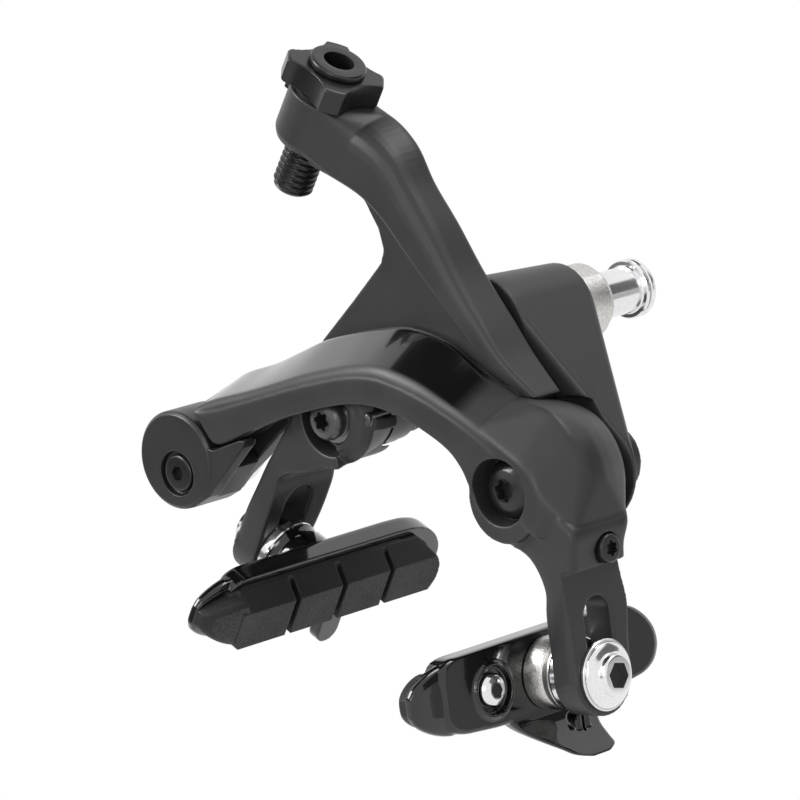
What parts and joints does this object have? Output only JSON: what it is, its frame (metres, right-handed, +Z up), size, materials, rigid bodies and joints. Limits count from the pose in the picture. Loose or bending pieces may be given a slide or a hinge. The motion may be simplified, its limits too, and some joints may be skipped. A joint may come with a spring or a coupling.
{
  "type": "bicycle rim brake caliper",
  "caption": "Side-pull bicycle rim brake caliper with two pivoting arms, cable adjuster, quick-release lever and brake shoes.",
  "frame": {"origin": "mounting stud axis at the fork face of the serrated washer", "axes": "+Y to the rear along the stud, +Z up, +X to the right seen from the front"},
  "size_m": [0.1018, 0.0766, 0.1053],
  "materials": {
    "arm_grey": "satin dark grey paint on forged metal, fine grain",
    "polished_steel": "polished",
    "plain_steel": "satin",
    "dark_bolt": "satin black oxide",
    "brass": "plain",
    "gloss_black": "gloss",
    "pad_rubber": "matte",
    "black_plastic": "matte"
  },
  "bodies": {
    "frame": {"bracket": "arm_grey", "mounting_bolt": "plain_steel", "serrated_washer": "polished_steel", "recessed_nut": "polished_steel", "right_pivot_bolt": "dark_bolt", "left_pivot_bolt": "plain_steel", "pivot_spacers": "dark_bolt", "spring_discs": "dark_bolt", "spring_sleeve": "plain_steel", "left_flange_ring": "polished_steel"},
    "right_arm_body": {"right_arm": "arm_grey", "right_bush": "brass", "roller_pin": "plain_steel", "anchor_bolt": "polished_steel", "anchor_plate": "polished_steel"},
    "roller": {"link_roller": "plain_steel"},
    "centring_screw_body": {"centring_screw": "dark_bolt"},
    "lever": {"release_lever": "arm_grey", "lever_screw": "dark_bolt"},
    "left_arm_body": {"left_arm": "arm_grey", "left_bush": "brass", "adjuster_clip": "black_plastic", "return_spring": "plain_steel"},
    "adjuster_nut_body": {"adjuster_nut": "dark_bolt"},
    "adjuster_bolt_body": {"adjuster_bolt": "dark_bolt"},
    "right_shoe": {"right_shoe_holder": "gloss_black", "right_pad": "pad_rubber", "right_pad_screw": "polished_steel", "right_shoe_bolt": "polished_steel", "right_outer_washer": "plain_steel", "right_dome_washer": "plain_steel", "right_cup_washer": "polished_steel"},
    "left_shoe": {"left_shoe_holder": "gloss_black", "left_pad": "pad_rubber", "left_pad_screw": "polished_steel", "left_shoe_bolt": "polished_steel", "left_outer_washer": "plain_steel", "left_dome_washer": "plain_steel", "left_cup_washer": "gloss_black"}
  },
  "joints": [
    {"name": "right_arm_pivot", "type": "hinge", "parent": "frame", "child": "right_arm_body", "pos_m": [0.0199, -0.032, -0.01907], "axis": [0, 1, 0], "range_deg": [0, 12], "stiffness_Nm_per_rad": 0.25, "springref_deg": -11.46},
    {"name": "left_arm_pivot", "type": "hinge", "parent": "frame", "child": "left_arm_body", "pos_m": [-0.0199, -0.032, -0.01907], "axis": [0, 1, 0], "range_deg": [-12, 0], "stiffness_Nm_per_rad": 0.25, "springref_deg": 11.46},
    {"name": "roller_spin", "type": "hinge", "parent": "right_arm_body", "child": "roller", "pos_m": [0, -0.031, -0.0049], "axis": [0, 1, 0], "continuous": true},
    {"name": "centring_screw_turn", "type": "hinge", "parent": "right_arm_body", "child": "centring_screw_body", "pos_m": [0.03517, -0.03235, -0.02591], "axis": [0.9588, 0, 0.284], "continuous": true},
    {"name": "release_lever_turn", "type": "hinge", "parent": "right_arm_body", "child": "lever", "pos_m": [-0.0506, -0.039, -0.0351], "axis": [0, 1, 0], "range_deg": [0, 60]},
    {"name": "adjuster_nut_turn", "type": "hinge", "parent": "left_arm_body", "child": "adjuster_nut_body", "pos_m": [-0.03087, -0.034, 0.03601], "axis": [0.3256, 0, 0.9455], "range_deg": [0, 1800]},
    {"name": "adjuster_bolt_slide", "type": "slide", "parent": "left_arm_body", "child": "adjuster_bolt_body", "axis": [0.3256, 0, 0.9455], "range_m": [0, 0.005]},
    {"name": "right_shoe_slide", "type": "slide", "parent": "right_arm_body", "child": "right_shoe", "axis": [-0.284, 0, 0.9588], "range_m": [0, 0.01]},
    {"name": "left_shoe_slide", "type": "slide", "parent": "left_arm_body", "child": "left_shoe", "axis": [0.284, 0, 0.9588], "range_m": [0, 0.01]}
  ],
  "couplings": [
    {"joint": "left_arm_pivot", "follows": "right_arm_pivot", "ratio": -1},
    {"joint": "adjuster_bolt_slide", "follows": "adjuster_nut_turn", "m_per_rad": 0.00015915}
  ]
}
